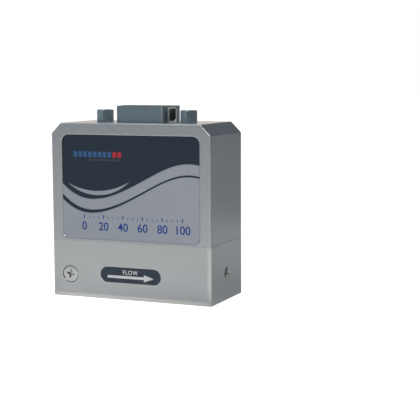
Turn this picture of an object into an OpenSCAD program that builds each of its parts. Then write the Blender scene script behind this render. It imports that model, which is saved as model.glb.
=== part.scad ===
/* [Housing] */
// Width of the body, along the flow
body_w = 46.5; // [45.5:0.5:60]
// Depth of the body, front to back
body_d = 21.5; // [21:0.5:32]
// Height of the body, foot to cover top
body_h = 47; // [45:0.5:60]
// Height of the flow block, which is the height of the seam
block_h = 15.4; // [14.5:0.1:17]
// Corner cut at the cover's upper left and right, along each side
corner_cut = 3; // [2:0.1:4.5]
// Wall of the cover
cover_wall = 1.5; // [1.2:0.1:1.8]
// Rounding of the cover's edges
cover_edge_r = 0.3; // [0.2:0.05:0.8]
// Width of the shallow bevel round the block's front and back
bevel_w = 1; // [0.5:0.1:1.5]
// Depth of the bevel
bevel_d = 0.18; // [0.1:0.02:0.3]
// Height of the land on the block that locates the cover
land_h = 2.1; // [1.6:0.1:3]
// Gap between the land and the cover's wall
land_gap = 0.1; // [0.05:0.05:0.3]
// Width of the seal round the land
seal_w = 0.7; // [0.5:0.1:0.9]
// Height of the seal round the land
seal_h = 0.8; // [0.5:0.1:1.2]

/* [Labels] */
// Width of the front and back labels
label_w = 40.3; // [30:0.1:42]
// Height of the front and back labels
label_h = 28; // [20:0.1:28.5]
// Lip of the cover under each label
label_lip = 0.5; // [0.4:0.1:2]
// Corner radius of the labels
label_r = 1.9; // [0.5:0.1:3]
// Thickness of the label film
label_t = 0.2; // [0.1:0.05:0.25]
// Depth of the recess that holds a label
label_recess = 0.3; // [0.3:0.05:0.5]
// Thickness of a layer of print
print_t = 0.05; // [0.02:0.01:0.05]
// Gap round a film in its recess
film_gap = 0.05; // [0.02:0.01:0.1]

/* [Flow badge and front screw] */
// Length of the flow badge
badge_w = 17.8; // [14:0.1:22]
// Height of the flow badge
badge_h = 4.15; // [3:0.05:5]
// Height of the badge's centre above the foot
badge_z = 6.67; // [5:0.1:8]
// Length of the flow arrow
arrow_l = 13.7; // [10:0.1:13.9]
// Length of the arrow's head
arrow_head_l = 2.9; // [2:0.1:4]
// Height of the arrow's head
arrow_head_h = 1.9; // [1:0.1:2.4]
// Height of the arrow's shaft
arrow_shaft_h = 0.72; // [0.4:0.02:1]
// Drop of the arrow below the badge's centre
arrow_drop = 0.53; // [0:0.01:0.6]
// Distance of the front screw from the middle of the body
front_screw_x = 18.1; // [16:0.1:19]
// Height of the front screw above the foot
front_screw_z = 6.15; // [5:0.05:8]
// Radius of the front screw's head
front_head_r = 2.3; // [2:0.05:2.6]
// Height of the front screw's head
front_head_h = 1.4; // [1:0.1:2]
// Length of the front screw's thread
front_shank_l = 5; // [3:0.5:5.5]

/* [Ports and passages] */
// Height of the flow axis above the foot
port_z = 7.25; // [6.8:0.05:8]
// Radius of the port's thread
port_r = 1.45; // [1.3:0.05:1.7]
// Depth of the port's thread
port_depth = 6; // [4:0.5:6.5]
// Lead-in at a port's mouth
port_lead = 0.2; // [0.1:0.05:0.4]
// Radius of the main bore
main_r = 1.2; // [1.05:0.05:1.25]
// Right end of the main bore, from the middle of the body
main_end_x = 1; // [-1:0.5:3]
// Radius of the feed drilled on from the main bore
feed_r = 1; // [0.8:0.05:1.05]
// Radius of the riser that lifts the gas to the valve
riser_r = 1; // [0.7:0.05:1]
// Radius of a sensor tap
tap_r = 0.6; // [0.4:0.05:0.7]
// Distance between the two sensor taps
tap_pitch = 10; // [9:0.5:11]
// Length of the laminar element
laminar_l = 7.6; // [5:0.1:7.6]
// Radius of a channel through the laminar element
laminar_channel_r = 0.18; // [0.1:0.01:0.2]
// Thickness of the inlet screen
screen_t = 0.6; // [0.4:0.1:1]
// Running gap round an inserted element
insert_gap = 0.02; // [0.01:0.01:0.04]

/* [Foot] */
// Distance between the foot's threaded holes, along the flow
foot_pitch_x = 24; // [20:1:28]
// Distance between the foot's threaded holes, front to back
foot_pitch_y = 14; // [12:0.5:15]
// Radius of a threaded hole in the foot
foot_hole_r = 1.25; // [1:0.05:1.6]
// Depth of a threaded hole in the foot
foot_hole_depth = 5; // [3:0.5:6]

/* [Valve] */
// Distance of the valve's axis from the middle of the body
valve_x = 12.5; // [12:0.1:13.5]
// Radius of the valve chamber in the block
chamber_r = 4.6; // [4.3:0.1:4.7]
// Depth of the valve chamber below the land
chamber_depth = 4; // [3.5:0.1:4.5]
// Radius of the valve seat's body
seat_r = 2; // [1.8:0.05:2.1]
// Depth of the valve seat in the chamber's floor
seat_depth = 2.2; // [1.8:0.1:2.4]
// Height of the seat's nozzle above the floor
nozzle_h = 0.8; // [0.5:0.1:1]
// Radius of the orifice
orifice_r = 0.5; // [0.3:0.05:0.6]
// Radius of the passage under the seat
outlet_drop_r = 0.9; // [0.7:0.05:1]
// Outer radius of the core tube
tube_r = 3.2; // [3:0.05:3.3]
// Wall of the core tube
tube_wall = 0.3; // [0.2:0.05:0.4]
// Running gap round the plunger
plunger_gap = 0.05; // [0.03:0.01:0.08]
// Length of the plunger
plunger_l = 13; // [12:0.1:13.2]
// Travel of the plunger
plunger_travel = 0.4; // [0.2:0.05:0.5]
// Air gap left above the raised plunger
air_gap = 0.2; // [0.1:0.05:0.4]
// Radius of the pocket for the plunger's spring
pocket_r = 1.4; // [1.2:0.05:1.6]
// Depth of the pocket for the plunger's spring
pocket_depth = 5.4; // [4:0.1:6]
// Thickness of the poppet's seal
poppet_t = 0.8; // [0.5:0.1:1]
// Radius of the poppet's seal
poppet_r = 1.6; // [1.4:0.05:1.8]
// Thickness of the tube's mounting plate
plate_t = 1.6; // [1.2:0.1:2]
// Thickness of the yoke's strip
yoke_t = 1.2; // [1:0.1:1.2]
// Width of the yoke's strip
yoke_d = 9; // [8:0.5:10]
// Radius of the coil's flanges
coil_r = 5.1; // [4.8:0.05:5.2]
// Height of the coil between the yoke's plates
coil_h = 13; // [12:0.1:13.4]
// Wall of the coil's bobbin
bobbin_wall = 0.5; // [0.4:0.05:0.6]
// Distance of a valve screw from the valve's axis
valve_screw_y = 7.1; // [7:0.05:7.2]

/* [Sensor] */
// Distance of the sensor's centre from the middle of the body
sensor_x = 8; // [7.8:0.1:8.5]
// Length of the sensor stack
sensor_l = 16; // [15:0.1:16]
// Depth of the sensor stack
sensor_d = 14; // [13:0.5:16]
// Thickness of the sensor's manifold
manifold_t = 3; // [2:0.1:3]
// Depth of the channel in the manifold
channel_depth = 0.6; // [0.3:0.1:1]
// Width of the channel in the manifold
channel_w = 1.4; // [1:0.1:2]
// Thickness of the sensor's gasket
gasket_t = 0.6; // [0.6:0.1:0.8]
// Thickness of the sensor's board
sensor_board_t = 1; // [0.6:0.1:1]
// Side of the sensor chip
sensor_chip_w = 3; // [2:0.1:3.6]

/* [Electronics] */
// Thickness of the main board
board_t = 1.6; // [1.4:0.1:1.6]
// Height of the main board's lower edge above the land
board_lift = 6; // [6:0.1:7]
// Width of the main board, without its arm
board_w = 25; // [24:0.5:25]
// Width of a board bracket
bracket_w = 3.8; // [3.5:0.1:3.8]
// Height of a board bracket
bracket_h = 9.5; // [9:0.1:11]
// Depth of a board bracket's foot
bracket_d = 6.5; // [5.5:0.1:7]
// Thickness of a board bracket
bracket_t = 1; // [0.8:0.1:1.2]
// Radius of a small screw's thread
small_r = 0.8; // [0.7:0.05:0.9]
// Radius of a small screw's head
small_head_r = 1.7; // [1.5:0.05:1.8]
// Height of a small screw's head
small_head_h = 1.2; // [0.8:0.1:1.3]

/* [Connector] */
// Outer width of the connector's shell
shell_w = 16.9; // [16.8:0.1:17.8]
// Outer depth of the connector's shell
shell_d = 8.4; // [8.3:0.1:9.2]
// Wall of the connector's shell
shell_wall = 0.3; // [0.25:0.05:0.4]
// Height of the connector's shell above its flange
shell_h = 5.9; // [5.5:0.1:6.2]
// Corner radius of the connector's shell
shell_r = 0.9; // [0.8:0.1:2]
// Slope of the shell's two sides
shell_slope = 10; // [8:0.5:12]
// Width of the window in each end of the shell
window_w = 3.1; // [2.5:0.1:4]
// Height of the window
window_h = 3.3; // [2.5:0.1:3.6]
// Height of the window's sill above the cover
window_sill = 0.4; // [0.2:0.1:1]
// Width of the connector's flange
flange_w = 30.8; // [30:0.1:32]
// Depth of the connector's flange
flange_d = 12.5; // [12:0.1:13]
// Thickness of the front flange
flange_t = 0.8; // [0.6:0.1:1]
// Thickness of the rear flange
rear_flange_t = 0.6; // [0.4:0.1:0.8]
// Depth of the connector behind the front flange's face
rear_depth = 4.5; // [4:0.1:4.8]
// Distance between the jackscrews
jack_pitch = 24.99; // [24.5:0.01:25.5]
// Width of a jackscrew's hexagon across its flats
jack_af = 4.05; // [4:0.05:5]
// Height of a jackscrew's hexagon
jack_h = 3.3; // [3:0.1:5]
// Turn of the jackscrews' hexagons
jack_turn = 41; // [0:1:59]
// Radius of a jackscrew's inner thread
jack_bore_r = 1.13; // [1.05:0.01:1.2]
// Depth of a jackscrew's inner thread
jack_bore_depth = 2.8; // [2:0.1:2.9]
// Radius of a jackscrew's shank
jack_shank_r = 1.4; // [1.3:0.01:1.42]
// Distance between pins in a row
pin_pitch = 2.77; // [2.7:0.01:2.84]
// Distance between the two rows of pins
row_pitch = 2.84; // [2.8:0.01:2.9]
// Radius of a pin
pin_r = 0.5; // [0.4:0.01:0.52]
// Gap between the shell and its cut-out
cutout_gap = 0.3; // [0.2:0.05:0.5]

/* [Hidden] */
$fn = 48;

// Lets a cut run past the face that it opens
past = 1;
// Heights of the main levels
land_z = block_h + land_h;
cover_h = body_h - block_h;
inner_z = body_h - cover_wall;
// Inside of the cover
inner_w = body_w - 2 * cover_wall;
inner_d = body_d - 2 * cover_wall;
inner_cut = corner_cut - cover_wall * (2 - sqrt(2));
inner_r = 0.5;
label_z = block_h + label_lip;
film_w = label_w - 2 * film_gap;
film_h = label_h - 2 * film_gap;
film_r = label_r - film_gap;
film_z = label_z + film_gap;
film_y = body_d / 2 - label_recess;
// Flow passages
port_end_x = body_w / 2 - port_depth;
tap_x = [-sensor_x - tap_pitch / 2, -sensor_x + tap_pitch / 2];
chamber_z = land_z - chamber_depth;
riser_x = valve_x - (chamber_r + seat_r) / 2;
// Seal of cord laid in a rebate: radius of the cord, and how far the rebate is wider
cord_r = 0.42;
cord_gap = 0.03;
valve_cord_r = chamber_r + cord_r + cord_gap;
tap_cord_r = tap_r + cord_r + 2 * cord_gap;
// Levels of the valve
plate_z = land_z + plate_t;
coil_z = plate_z + yoke_t;
coil_top_z = coil_z + coil_h;
yoke_w = 2 * (coil_r + 0.3 + yoke_t);
yoke_top_z = coil_top_z + yoke_t;
nozzle_z = chamber_z + nozzle_h;
face_gap = 0.02;
plunger_z = nozzle_z + face_gap;
plunger_r = tube_r - tube_wall - plunger_gap;
core_z = plunger_z + plunger_l + plunger_travel + air_gap;
tube_top_z = coil_top_z - 1.8;
stud_r = 1.25;
nut_h = 1.6;
nut_af = 5;
stud_top_z = yoke_top_z + nut_h + 0.2;
plate_w = 2 * chamber_r + 2.8;
plate_d = 2 * valve_screw_y + 2.9;
spring_wire_r = 0.16;
spring_turns = 6;
// Levels of the sensor
gasket_z = land_z + manifold_t;
sensor_board_z = gasket_z + gasket_t;
sensor_top_z = sensor_board_z + sensor_board_t;
sensor_screw_at = [[-sensor_x - sensor_l / 2 + 1.8, sensor_d / 2 - 1.8],
  [-sensor_x + sensor_l / 2 - 1.8, 1.8 - sensor_d / 2]];
// Main board, from its left edge to the end of its arm
board_z = land_z + board_lift;
board_top_z = inner_z - rear_depth - 0.2;
bracket_room = 0.6;
bracket_x = [for (s = [-1, 1]) s * (sensor_l / 2 + bracket_room + bracket_w / 2) - sensor_x];
board_left_x = bracket_x[0] - bracket_w / 2 - 0.1;
board_right_x = board_left_x + board_w;
arm_z = stud_top_z + 0.5;
arm_end_x = valve_x - nut_af / 2;
bracket_foot_y = board_t / 2 + bracket_d * 0.62;
bracket_screw_z = land_z + bracket_h - 2.2;
foot_screw_l = 4;
// Connector
flange_z = inner_z;
flange_back_z = inner_z - flange_t;
rear_z = inner_z - rear_depth;
rear_plate_z = flange_back_z - rear_flange_t;
shell_top_z = flange_z + shell_h;
window_r = 0.5;
rear_shell_w = 19.28;
rear_shell_d = 10.72;
rear_shell_wall = 0.4;
rear_shell_r = 1;
insulator_gap = 0.05;
insulator_face_z = flange_z + 0.9;
wide_row = [for (k = [-2:2]) [k * pin_pitch, row_pitch / 2]];
narrow_row = [for (k = [-1.5:1.5]) [k * pin_pitch, -row_pitch / 2]];
tail_r = row_pitch / 2 - board_t / 2 - face_gap;
tail_l = 3;

function unit(v) = v / norm(v);
function wrap(p, k) = p[(k + len(p)) % len(p)];
// Half the angle at corner k of a convex outline, its arc's centre and the arc's two ends
function half_angle(p, k) = acos(unit(wrap(p, k - 1) - p[k]) * unit(wrap(p, k + 1) - p[k])) / 2;
function arc_centre(p, k, r) =
  p[k] + unit(unit(wrap(p, k - 1) - p[k]) + unit(wrap(p, k + 1) - p[k])) * r / sin(half_angle(p, k));
function arc_ends(p, k, r) = [for (s = [-1, 1])
  p[k] + unit(wrap(p, k + s) - p[k]) * r / tan(half_angle(p, k))];
function box_corners(w, h) = [[-w / 2, -h / 2], [w / 2, -h / 2], [w / 2, h / 2], [-w / 2, h / 2]];
// A rectangle whose corners are cut off by a along its width and b along its height
function bevelled(w, h, a, b) = [for (s = [[-1, -1], [1, -1], [1, 1], [-1, 1]])
  for (q = s[0] == s[1] ? [[0, b], [a, 0]] : [[a, 0], [0, b]])
    [s[0] * (w / 2 - q[0]), s[1] * (h / 2 - q[1])]];

// A convex outline with every corner rounded by a true arc
module rounded(p, r) {
  polygon([for (k = [0:len(p) - 1]) for (e = arc_ends(p, k, r)) e]);
  for (k = [0:len(p) - 1])
    translate(arc_centre(p, k, r))
      circle(r = r);
}

module slab(w, d, h, r) {
  linear_extrude(h)
    rounded(box_corners(w, d), r);
}

// Stands an outline in X and Z up, and gives it a thickness from the front face y1 to y2
module upright(y1, y2) {
  translate([0, y2, 0])
    rotate([90, 0, 0])
      linear_extrude(y2 - y1)
        children();
}

module along_x(x1, x2, r, z = port_z) {
  translate([x1, 0, z])
    rotate([0, 90, 0])
      cylinder(h = x2 - x1, r = r);
}

module o_ring(centre_r, section_r) {
  rotate_extrude()
    translate([centre_r, 0])
      circle(r = section_r, $fn = 24);
}

// A small screw that points down, with its head's seat at the origin
module small_screw(length, r = small_r, head_r = small_head_r, head_h = small_head_h) {
  difference() {
    union() {
      translate([0, 0, -length])
        cylinder(h = length + head_h / 2, r = r);
      cylinder(h = head_h * 0.6, r = head_r);
      translate([0, 0, head_h * 0.6])
        cylinder(h = head_h * 0.4, r1 = head_r, r2 = head_r * 0.7);
    }
    for (a = [0, 90])
      rotate([0, 0, a])
        translate([-head_r * 0.55, -head_r * 0.12, head_h * 0.45])
          cube([head_r * 1.1, head_r * 0.24, head_h]);
  }
}

module drilled(at, z, depth, r) {
  translate([at[0], at[1], z - depth])
    cylinder(h = depth + past, r = r);
}

// Bevels the front and the back of the block along their upright and bottom edges
module block_body() {
  intersection() {
    linear_extrude(block_h)
      polygon(bevelled(body_w, body_d, bevel_w, bevel_d));
    rotate([0, 0, 90])
      upright(-body_w, body_w)
        translate([0, block_h])
          polygon(bevelled(body_d, 2 * block_h, bevel_d, bevel_w));
  }
}

module flow_block() {
  color([0.66, 0.68, 0.69])
    difference() {
      union() {
        block_body();
        translate([0, 0, block_h - past])
          slab(inner_w - 2 * land_gap, inner_d - 2 * land_gap, land_h + past, inner_r);
      }
      for (s = [0, 180])
        rotate([0, 0, s]) {
          along_x(port_end_x, body_w / 2 + past, port_r);
          translate([body_w / 2 - port_lead, 0, port_z])
            rotate([0, 90, 0])
              cylinder(h = 2 * port_lead, r1 = port_r, r2 = port_r + 2 * port_lead);
        }
      along_x(-port_end_x - past, main_end_x, main_r);
      along_x(main_end_x - past, riser_x, feed_r);
      along_x(valve_x - 1, port_end_x + past, main_r);
      for (x = tap_x) {
        drilled([x, 0], land_z, land_z - port_z, tap_r);
        drilled([x, 0], land_z, 2 * cord_r, tap_cord_r + cord_r + cord_gap);
      }
      drilled([riser_x, 0], chamber_z, chamber_z - port_z, riser_r);
      drilled([valve_x, 0], chamber_z, chamber_z - port_z, outlet_drop_r);
      drilled([valve_x, 0], chamber_z, seat_depth, seat_r);
      drilled([valve_x, 0], land_z, chamber_depth, chamber_r);
      drilled([valve_x, 0], land_z, 2 * cord_r, valve_cord_r + cord_r + cord_gap);
      for (at = sensor_screw_at)
        drilled(at, land_z, foot_screw_l, small_r);
      for (x = bracket_x)
        drilled([x, bracket_foot_y], land_z, foot_screw_l, small_r);
      for (s = [-1, 1])
        drilled([valve_x, s * valve_screw_y], land_z, foot_screw_l, small_r);
      for (x = [-1, 1], y = [-1, 1])
        translate([x * foot_pitch_x / 2, y * foot_pitch_y / 2, -past])
          cylinder(h = foot_hole_depth + past, r = foot_hole_r);
      translate([0, 0, badge_z])
        upright(-body_d, -film_y)
          capsule(badge_w, badge_h);
      translate([-front_screw_x, 0, front_screw_z])
        rotate([90, 0, 0]) {
          translate([0, 0, body_d / 2 - front_head_h])
            cylinder(h = front_head_h + past, r = front_head_r + film_gap);
          translate([0, 0, body_d / 2 - front_head_h - front_shank_l])
            cylinder(h = front_shank_l + past, r = foot_hole_r);
        }
    }
}

module capsule(w, h) {
  square([w - h, h], center = true);
  for (s = [-1, 1])
    translate([s * (w - h) / 2, 0])
      circle(d = h);
}

// Outline of the cover from the front, which runs on below its open edge
module cover_outline(w, h, cut, r) {
  rounded([[-w / 2, -h], [w / 2, -h], [w / 2, h - cut], [w / 2 - cut, h], [cut - w / 2, h],
    [-w / 2, h - cut]], r);
}

module cover_body() {
  reach = (body_w / 2 + cover_h - corner_cut) / sqrt(2);
  intersection() {
    slab(body_w, body_d, cover_h, cover_edge_r);
    upright(-body_d, body_d)
      cover_outline(body_w, cover_h, corner_cut, cover_edge_r);
    rotate([0, 0, 90])
      upright(-body_w, body_w)
        rounded(box_corners(body_d, 2 * cover_h), cover_edge_r);
    for (s = [-45, 45])
      rotate([0, s, 0])
        rotate([0, 0, 90])
          upright(-2 * body_w, 2 * body_w)
          translate([0, (reach - body_w) / 2])
            rounded(box_corners(body_d, reach + body_w), cover_edge_r);
  }
}

module cover() {
  color([0.55, 0.57, 0.59])
    translate([0, 0, block_h])
      difference() {
        cover_body();
        intersection() {
          translate([0, 0, -past])
            slab(inner_w, inner_d, cover_h, inner_r);
          upright(-inner_d, inner_d)
            cover_outline(inner_w, cover_h - cover_wall, inner_cut, inner_r);
        }
        translate([0, 0, -past])
          slab(inner_w + 2 * (seal_w - land_gap), inner_d + 2 * (seal_w - land_gap), seal_h + past,
            inner_r);
        for (s = [0, 180])
          rotate([0, 0, s])
            translate([0, 0, label_lip + label_h / 2])
              upright(-body_d, -film_y)
                rounded(box_corners(label_w, label_h), label_r);
        translate([0, 0, cover_h - 2 * cover_wall])
          linear_extrude(3 * cover_wall)
            shell_outline(cutout_gap);
        for (s = [-1, 1])
          translate([s * jack_pitch / 2, 0, cover_h - 2 * cover_wall])
            cylinder(h = 3 * cover_wall, r = jack_shank_r + cutout_gap);
      }
}

module cover_seal() {
  color([0.12, 0.12, 0.13])
    translate([0, 0, block_h])
      difference() {
        slab(inner_w + 2 * (seal_w - land_gap - film_gap), inner_d + 2 * (seal_w - land_gap - film_gap),
          seal_h - film_gap, inner_r);
        translate([0, 0, -past])
          slab(inner_w - 2 * (land_gap - film_gap), inner_d - 2 * (land_gap - film_gap), seal_h + 2 * past,
            inner_r);
      }
}

// Lays a flat layer on the front or, turned round, on the back: y is its inner face
module layer(y, t) {
  upright(-y - t, -y)
    children();
}

module label_film() {
  translate([0, 0, film_z + film_h / 2])
    layer(film_y, label_t)
      rounded(box_corners(film_w, film_h), film_r);
}

module front_label() {
  color([0.55, 0.57, 0.60])
    label_film();
}

module back_label() {
  color([0.10, 0.13, 0.18])
    rotate([0, 0, 180])
      label_film();
}

// Lower edge of the dark field: x, height over the label's foot and slope, each a share of the label
wave = [[-0.5, 0.534, -1.0], [-0.278, 0.389, 0], [0.109, 0.584, 0.52], [0.424, 0.746, 0], [0.5, 0.734, -0.2]];
wave_steps = 10;
stripe_drop = 2.88;
stripe_min = 0.45;
stripe_max = 1.3;
function hermite(a, b, t) = let (w = (b[0] - a[0]) * label_w)
  a[1] * label_h * (2 * t ^ 3 - 3 * t ^ 2 + 1) + a[2] * w * (t ^ 3 - 2 * t ^ 2 + t)
  + b[1] * label_h * (3 * t ^ 2 - 2 * t ^ 3) + b[2] * w * (t ^ 3 - t ^ 2);
wave_points = [for (k = [0:len(wave) - 2]) for (i = [(k == 0 ? 0 : 1):wave_steps])
  let (t = i / wave_steps)
    [(wave[k][0] * (1 - t) + wave[k + 1][0] * t) * label_w, hermite(wave[k], wave[k + 1], t)]];
function stripe_at(x) = stripe_min + (stripe_max - stripe_min) * (0.5 - x / label_w) ^ 3;

// Circle through three points, as its centre and radius
function circle_through(a, b, c) = let (
  d = 2 * (a[0] * (b[1] - c[1]) + b[0] * (c[1] - a[1]) + c[0] * (a[1] - b[1])),
  x = ((a * a) * (b[1] - c[1]) + (b * b) * (c[1] - a[1]) + (c * c) * (a[1] - b[1])) / d,
  y = ((a * a) * (c[0] - b[0]) + (b * b) * (a[0] - c[0]) + (c * c) * (b[0] - a[0])) / d)
  [[x, y], norm([x, y] - a)];
crescent_tips = [[-0.46 * label_w, 0.537 * label_h], [0.002 * label_w, 0.566 * label_h]];
crescent_low = [-0.29 * label_w, 0.431 * label_h];
crescent_high = [-0.265 * label_w, 0.468 * label_h];

module disc_through(p) {
  c = circle_through(crescent_tips[0], p, crescent_tips[1]);
  translate(c[0])
    circle(r = c[1], $fn = 180);
}

module front_label_print() {
  color([0.18, 0.22, 0.26])
    translate([0, 0, label_z])
      layer(film_y + label_t, print_t)
        intersection() {
          translate([0, label_h / 2])
            rounded(box_corners(film_w, film_h), film_r);
          union() {
            difference() {
              polygon(concat(wave_points, [[label_w / 2, label_h], [-label_w / 2, label_h]]));
              difference() {
                disc_through(crescent_low);
                disc_through(crescent_high);
              }
            }
            polygon(concat([for (p = wave_points) p - [0, stripe_drop]],
              [for (k = [len(wave_points) - 1:-1:0])
                wave_points[k] - [0, stripe_drop + stripe_at(wave_points[k][0])]]));
          }
        }
}

module flow_badge() {
  color([0.22, 0.26, 0.32])
    translate([0, 0, badge_z])
      layer(film_y, label_t)
        capsule(badge_w - 2 * film_gap, badge_h - 2 * film_gap);
}

module flow_arrow() {
  color([0.88, 0.88, 0.88])
    translate([0, 0, badge_z - arrow_drop])
      layer(film_y + label_t, print_t) {
        neck = arrow_l / 2 - arrow_head_l;
        polygon([[-arrow_l / 2, -arrow_shaft_h / 2], [neck, -arrow_shaft_h / 2],
          [neck, -arrow_head_h / 2], [arrow_l / 2, 0], [neck, arrow_head_h / 2],
          [neck, arrow_shaft_h / 2], [-arrow_l / 2, arrow_shaft_h / 2]]);
      }
}

module front_screw() {
  color([0.70, 0.70, 0.71])
    translate([-front_screw_x, front_head_h - body_d / 2, front_screw_z])
      rotate([90, 0, 0])
        small_screw(front_shank_l - 0.3, foot_hole_r - insert_gap, front_head_r, front_head_h - film_gap);
}

module laminar_element() {
  color([0.78, 0.79, 0.80])
    translate([-sensor_x, 0, 0])
      difference() {
        along_x(-laminar_l / 2, laminar_l / 2, main_r - insert_gap);
        translate([0, 0, port_z]) {
          rotate([0, 90, 0])
            for (ring = [1, 2], k = [1:6 * ring])
              rotate([0, 0, 60 * k / ring])
                translate([ring * main_r * 0.36, 0, -laminar_l])
                  cylinder(h = 2 * laminar_l, r = laminar_channel_r, $fn = 16);
        }
      }
}

module inlet_screen() {
  color([0.80, 0.80, 0.81])
    difference() {
      along_x(-port_end_x, screen_t - port_end_x, main_r - insert_gap);
      translate([-port_end_x, 0, port_z])
        rotate([0, 90, 0])
          for (ring = [1, 2], k = [1:6 * ring])
            rotate([0, 0, 60 * k / ring])
              translate([ring * main_r * 0.36, 0, -past])
                cylinder(h = screen_t + 2 * past, r = laminar_channel_r * 0.75, $fn = 16);
    }
}

module at_valve(z) {
  translate([valve_x, 0, z])
    children();
}

module tube_ring(r1, r2, h) {
  difference() {
    cylinder(h = h, r = r2);
    translate([0, 0, -past])
      cylinder(h = h + 2 * past, r = r1);
  }
}

module valve_seat() {
  color([0.79, 0.64, 0.35])
    at_valve(chamber_z - seat_depth)
      difference() {
        union() {
          cylinder(h = seat_depth, r = seat_r - insert_gap);
          cylinder(h = seat_depth + nozzle_h, r1 = seat_r - insert_gap, r2 = orifice_r + 0.35);
        }
        translate([0, 0, -past])
          cylinder(h = seat_depth + nozzle_h + 2 * past, r = orifice_r);
        translate([0, 0, -past])
          cylinder(h = past + seat_depth / 2, r = outlet_drop_r);
      }
}

module valve_seal() {
  color([0.10, 0.10, 0.11])
    at_valve(land_z - cord_r)
      o_ring(valve_cord_r, cord_r - cord_gap);
}

module core_tube() {
  color([0.74, 0.75, 0.76])
    at_valve(land_z)
      difference() {
        union() {
          slab(plate_w, plate_d, plate_t, 1.5);
          cylinder(h = tube_top_z - land_z, r = tube_r);
        }
        translate([0, 0, -past])
          cylinder(h = tube_top_z - land_z + 2 * past, r = tube_r - tube_wall);
        for (s = [-1, 1])
          translate([0, s * valve_screw_y, -past])
            cylinder(h = plate_t + 2 * past, r = small_r + land_gap);
      }
}

module fixed_core() {
  color([0.62, 0.63, 0.64])
    at_valve(core_z) {
      cylinder(h = tube_top_z - core_z + past, r = tube_r - tube_wall - insert_gap);
      translate([0, 0, tube_top_z - core_z])
        cylinder(h = coil_top_z - tube_top_z, r = tube_r);
      cylinder(h = stud_top_z - core_z, r = stud_r);
    }
}

// Places of the coil's two terminals, beside the end of the main board's arm
terminal_r = 0.25;
terminal_x = [for (k = [0, 1]) arm_end_x - 0.75 - 1.5 * k];

module coil_bobbin() {
  lug_t = 0.8;
  lug_x = terminal_x[1] - valve_x - 2 * terminal_r;
  bore_r = tube_r + plunger_gap;
  color([0.86, 0.84, 0.76])
    at_valve(coil_z)
      difference() {
        union() {
          cylinder(h = coil_h, r = bore_r + bobbin_wall);
          for (z = [0, coil_h - lug_t])
            translate([0, 0, z])
              cylinder(h = lug_t, r = coil_r);
          translate([lug_x, yoke_d / 2 - 1, coil_h - lug_t])
            cube([terminal_x[0] - terminal_x[1] + 4 * terminal_r, coil_r - yoke_d / 2 + 1.6, lug_t]);
        }
        translate([0, 0, -past])
          cylinder(h = coil_h + 2 * past, r = bore_r);
      }
}

module coil_winding() {
  color([0.62, 0.33, 0.16])
    at_valve(coil_z + 0.8 + face_gap)
      tube_ring(tube_r + plunger_gap + bobbin_wall + face_gap, coil_r - 0.3, coil_h - 1.6 - 2 * face_gap);
}

// Two stiff wires that rise from the bobbin and turn in to the board
module coil_terminals() {
  top_z = (arm_z + board_top_z) / 2;
  color([0.80, 0.78, 0.70])
    for (x = terminal_x)
      translate([x, 0, 0]) {
        translate([0, coil_r, coil_top_z])
          cylinder(h = top_z - coil_top_z, r = terminal_r);
        translate([0, board_t / 2, top_z])
          rotate([-90, 0, 0])
            cylinder(h = coil_r - board_t / 2, r = terminal_r);
        translate([0, coil_r, top_z])
          sphere(r = terminal_r);
      }
}

module valve_yoke() {
  color([0.50, 0.51, 0.53])
    at_valve(plate_z)
      difference() {
        upright(-yoke_d / 2, yoke_d / 2)
          translate([0, coil_h / 2 + yoke_t])
            difference() {
              rounded(box_corners(yoke_w, coil_h + 2 * yoke_t), yoke_t + 0.4);
              rounded(box_corners(yoke_w - 2 * yoke_t, coil_h), 0.4);
            }
        translate([0, 0, -past])
          cylinder(h = yoke_t + 2 * past, r = tube_r + plunger_gap);
        translate([0, 0, coil_h + yoke_t - past])
          cylinder(h = yoke_t + 2 * past, r = stud_r + plunger_gap);
      }
}

module valve_nut() {
  color([0.70, 0.71, 0.72])
    at_valve(yoke_top_z)
      difference() {
        cylinder(h = nut_h, d = nut_af / cos(30), $fn = 6);
        translate([0, 0, -past])
          cylinder(h = nut_h + 2 * past, r = stud_r + insert_gap);
      }
}

module valve_screws() {
  color([0.66, 0.67, 0.68])
    for (s = [-1, 1])
      translate([valve_x, s * valve_screw_y, plate_z])
        small_screw(foot_screw_l + plate_t - 0.3, small_r - insert_gap);
}

module plunger() {
  color([0.60, 0.61, 0.62])
    at_valve(plunger_z)
      difference() {
        cylinder(h = plunger_l, r = plunger_r);
        translate([0, 0, -past])
          cylinder(h = poppet_t + past, r = poppet_r);
        translate([0, 0, plunger_l - pocket_depth])
          cylinder(h = pocket_depth + past, r = pocket_r);
        for (a = [0, 180])
          rotate([0, 0, a])
            translate([plunger_r - 0.35, -0.5, -past])
              cube([1, 1, plunger_l + 2 * past]);
      }
}

module poppet_seal() {
  color([0.09, 0.09, 0.10])
    at_valve(plunger_z)
      cylinder(h = poppet_t - face_gap, r = poppet_r - insert_gap);
}

// Coil spring between the plunger's pocket and the fixed core
module plunger_spring() {
  z0 = plunger_z + plunger_l - pocket_depth + spring_wire_r + face_gap;
  z1 = core_z - spring_wire_r - face_gap;
  r = pocket_r - spring_wire_r - 0.15;
  steps = 14;
  sides = 6;
  rings = steps * spring_turns;
  ring = [for (i = [0:rings]) for (k = [0:sides - 1])
    let (a = 360 * i / steps, b = 360 * k / sides, rr = r + spring_wire_r * cos(b))
      [rr * cos(a), rr * sin(a), z0 + (z1 - z0) * i / rings + spring_wire_r * sin(b)]];
  color([0.75, 0.75, 0.76])
    at_valve(0)
      polyhedron(points = ring, faces = concat(
        [[for (k = [0:sides - 1]) k]],
        [for (i = [0:rings - 1]) for (k = [0:sides - 1])
          [i * sides + k, (i + 1) * sides + k, (i + 1) * sides + (k + 1) % sides,
            i * sides + (k + 1) % sides]],
        [[for (k = [sides - 1:-1:0]) rings * sides + k]]));
}

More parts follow.
